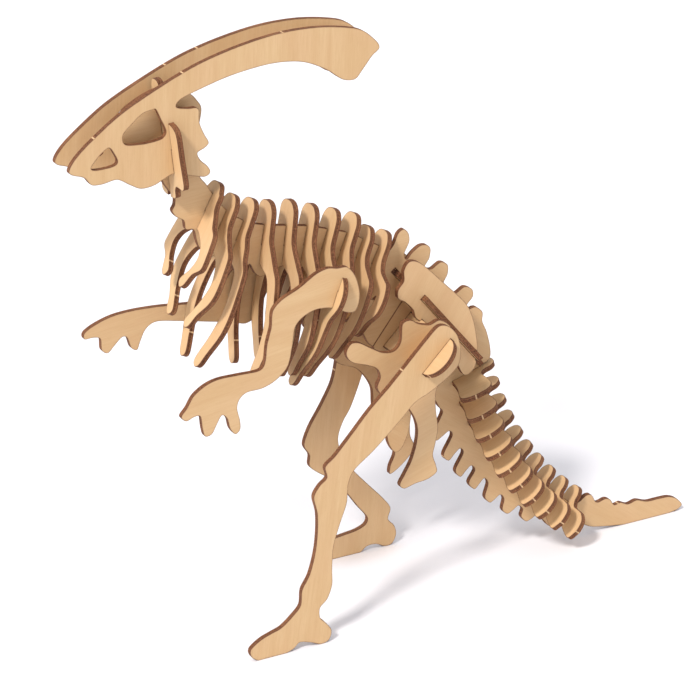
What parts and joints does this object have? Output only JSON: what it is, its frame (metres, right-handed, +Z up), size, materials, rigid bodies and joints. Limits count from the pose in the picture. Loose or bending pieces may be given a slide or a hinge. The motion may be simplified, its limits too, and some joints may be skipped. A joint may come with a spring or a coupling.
{
  "type": "slot-together dinosaur skeleton puzzle",
  "caption": "Standing skeleton of a long-crested dinosaur, slotted together from flat laser-cut plywood plates: skull, neck, ribs, arms, hips, legs and a tail of cross discs.",
  "frame": {"origin": "on the ground under the middle of the length", "axes": "+X from the snout to the tail, +Y from the animal's left side to its right, +Z up"},
  "size_m": [0.3916, 0.11, 0.3389],
  "materials": {
    "plywood": "bare laser-cut basswood plywood, scorched at the cut edges"
  },
  "bodies": {
    "frame": {"back_plate": "plywood", "tail_plate": "plywood", "sacrum_piece": "plywood", "ilium_left": "plywood", "ilium_right": "plywood", "pelvis_left": "plywood", "pelvis_right": "plywood", "hip_bar": "plywood"},
    "cheek": {"cheek_piece": "plywood"},
    "skull_left": {"skull_left": "plywood"},
    "skull_right": {"skull_right": "plywood"},
    "rib_1": {"rib_1": "plywood"},
    "rib_2": {"rib_2": "plywood"},
    "rib_3": {"rib_3": "plywood"},
    "rib_4": {"rib_4": "plywood"},
    "rib_5": {"rib_5": "plywood"},
    "rib_6": {"rib_6": "plywood"},
    "rib_7": {"rib_7": "plywood"},
    "rib_8": {"rib_8": "plywood"},
    "rib_9": {"rib_9": "plywood"},
    "rib_10": {"rib_10": "plywood"},
    "arm_left": {"arm_left": "plywood"},
    "arm_right": {"arm_right": "plywood"},
    "leg_left": {"leg_left": "plywood"},
    "leg_right": {"leg_right": "plywood"},
    "tail_disc_1": {"tail_disc_1": "plywood"},
    "tail_disc_2": {"tail_disc_2": "plywood"},
    "tail_disc_3": {"tail_disc_3": "plywood"},
    "tail_disc_4": {"tail_disc_4": "plywood"},
    "tail_disc_5": {"tail_disc_5": "plywood"},
    "tail_disc_6": {"tail_disc_6": "plywood"},
    "tail_disc_7": {"tail_disc_7": "plywood"},
    "tail_disc_8": {"tail_disc_8": "plywood"},
    "tail_disc_9": {"tail_disc_9": "plywood"},
    "tail_disc_10": {"tail_disc_10": "plywood"}
  },
  "joints": [
    {"name": "cheek_lift", "type": "slide", "parent": "frame", "child": "cheek", "axis": [-0.1045, 0, 0.9945], "range_m": [0, 0.07]},
    {"name": "skull_left_lift", "type": "slide", "parent": "cheek", "child": "skull_left", "axis": [-0.1045, 0, 0.9945], "range_m": [0, 0.05]},
    {"name": "skull_right_lift", "type": "slide", "parent": "cheek", "child": "skull_right", "axis": [-0.1045, 0, 0.9945], "range_m": [0, 0.05]},
    {"name": "rib_1_lift", "type": "slide", "parent": "frame", "child": "rib_1", "axis": [0.4848, 0, 0.8746], "range_m": [0, 0.022]},
    {"name": "rib_2_lift", "type": "slide", "parent": "frame", "child": "rib_2", "axis": [0.4695, 0, 0.8829], "range_m": [0, 0.022]},
    {"name": "rib_3_lift", "type": "slide", "parent": "frame", "child": "rib_3", "axis": [0.4147, 0, 0.91], "range_m": [0, 0.022]},
    {"name": "rib_4_lift", "type": "slide", "parent": "frame", "child": "rib_4", "axis": [0.1736, 0, 0.9848], "range_m": [0, 0.022]},
    {"name": "rib_5_lift", "type": "slide", "parent": "frame", "child": "rib_5", "axis": [0.1478, 0, 0.989], "range_m": [0, 0.022]},
    {"name": "rib_6_lift", "type": "slide", "parent": "frame", "child": "rib_6", "axis": [0.2164, 0, 0.9763], "range_m": [0, 0.022]},
    {"name": "rib_7_lift", "type": "slide", "parent": "frame", "child": "rib_7", "axis": [0.3338, 0, 0.9426], "range_m": [0, 0.022]},
    {"name": "rib_8_lift", "type": "slide", "parent": "frame", "child": "rib_8", "axis": [0.3987, 0, 0.9171], "range_m": [0, 0.022]},
    {"name": "rib_9_lift", "type": "slide", "parent": "frame", "child": "rib_9", "axis": [0.4067, 0, 0.9135], "range_m": [0, 0.022]},
    {"name": "rib_10_lift", "type": "slide", "parent": "frame", "child": "rib_10", "axis": [0.4305, 0, 0.9026], "range_m": [0, 0.022]},
    {"name": "arm_left_lift", "type": "slide", "parent": "rib_7", "child": "arm_left", "axis": [0.3338, 0, 0.9426], "range_m": [0, 0.06]},
    {"name": "arm_right_lift", "type": "slide", "parent": "rib_7", "child": "arm_right", "axis": [0.3338, 0, 0.9426], "range_m": [0, 0.06]},
    {"name": "leg_left_pull", "type": "slide", "parent": "frame", "child": "leg_left", "axis": [0, -1, 0], "range_m": [0, 0.03]},
    {"name": "leg_right_pull", "type": "slide", "parent": "frame", "child": "leg_right", "axis": [0, 1, 0], "range_m": [0, 0.03]},
    {"name": "tail_disc_1_lift", "type": "slide", "parent": "frame", "child": "tail_disc_1", "axis": [0.9613, 0, 0.2756], "range_m": [0, 0.03]},
    {"name": "tail_disc_2_lift", "type": "slide", "parent": "frame", "child": "tail_disc_2", "axis": [0.9397, 0, 0.342], "range_m": [0, 0.03]},
    {"name": "tail_disc_3_lift", "type": "slide", "parent": "frame", "child": "tail_disc_3", "axis": [0.9135, 0, 0.4067], "range_m": [0, 0.03]},
    {"name": "tail_disc_4_lift", "type": "slide", "parent": "frame", "child": "tail_disc_4", "axis": [0.8829, 0, 0.4695], "range_m": [0, 0.03]},
    {"name": "tail_disc_5_lift", "type": "slide", "parent": "frame", "child": "tail_disc_5", "axis": [0.848, 0, 0.5299], "range_m": [0, 0.03]},
    {"name": "tail_disc_6_lift", "type": "slide", "parent": "frame", "child": "tail_disc_6", "axis": [0.809, 0, 0.5878], "range_m": [0, 0.03]},
    {"name": "tail_disc_7_lift", "type": "slide", "parent": "frame", "child": "tail_disc_7", "axis": [0.766, 0, 0.6428], "range_m": [0, 0.03]},
    {"name": "tail_disc_8_lift", "type": "slide", "parent": "frame", "child": "tail_disc_8", "axis": [0.7193, 0, 0.6947], "range_m": [0, 0.03]},
    {"name": "tail_disc_9_lift", "type": "slide", "parent": "frame", "child": "tail_disc_9", "axis": [0.6691, 0, 0.7431], "range_m": [0, 0.03]},
    {"name": "tail_disc_10_lift", "type": "slide", "parent": "frame", "child": "tail_disc_10", "axis": [0.6157, 0, 0.788], "range_m": [0, 0.03]}
  ]
}
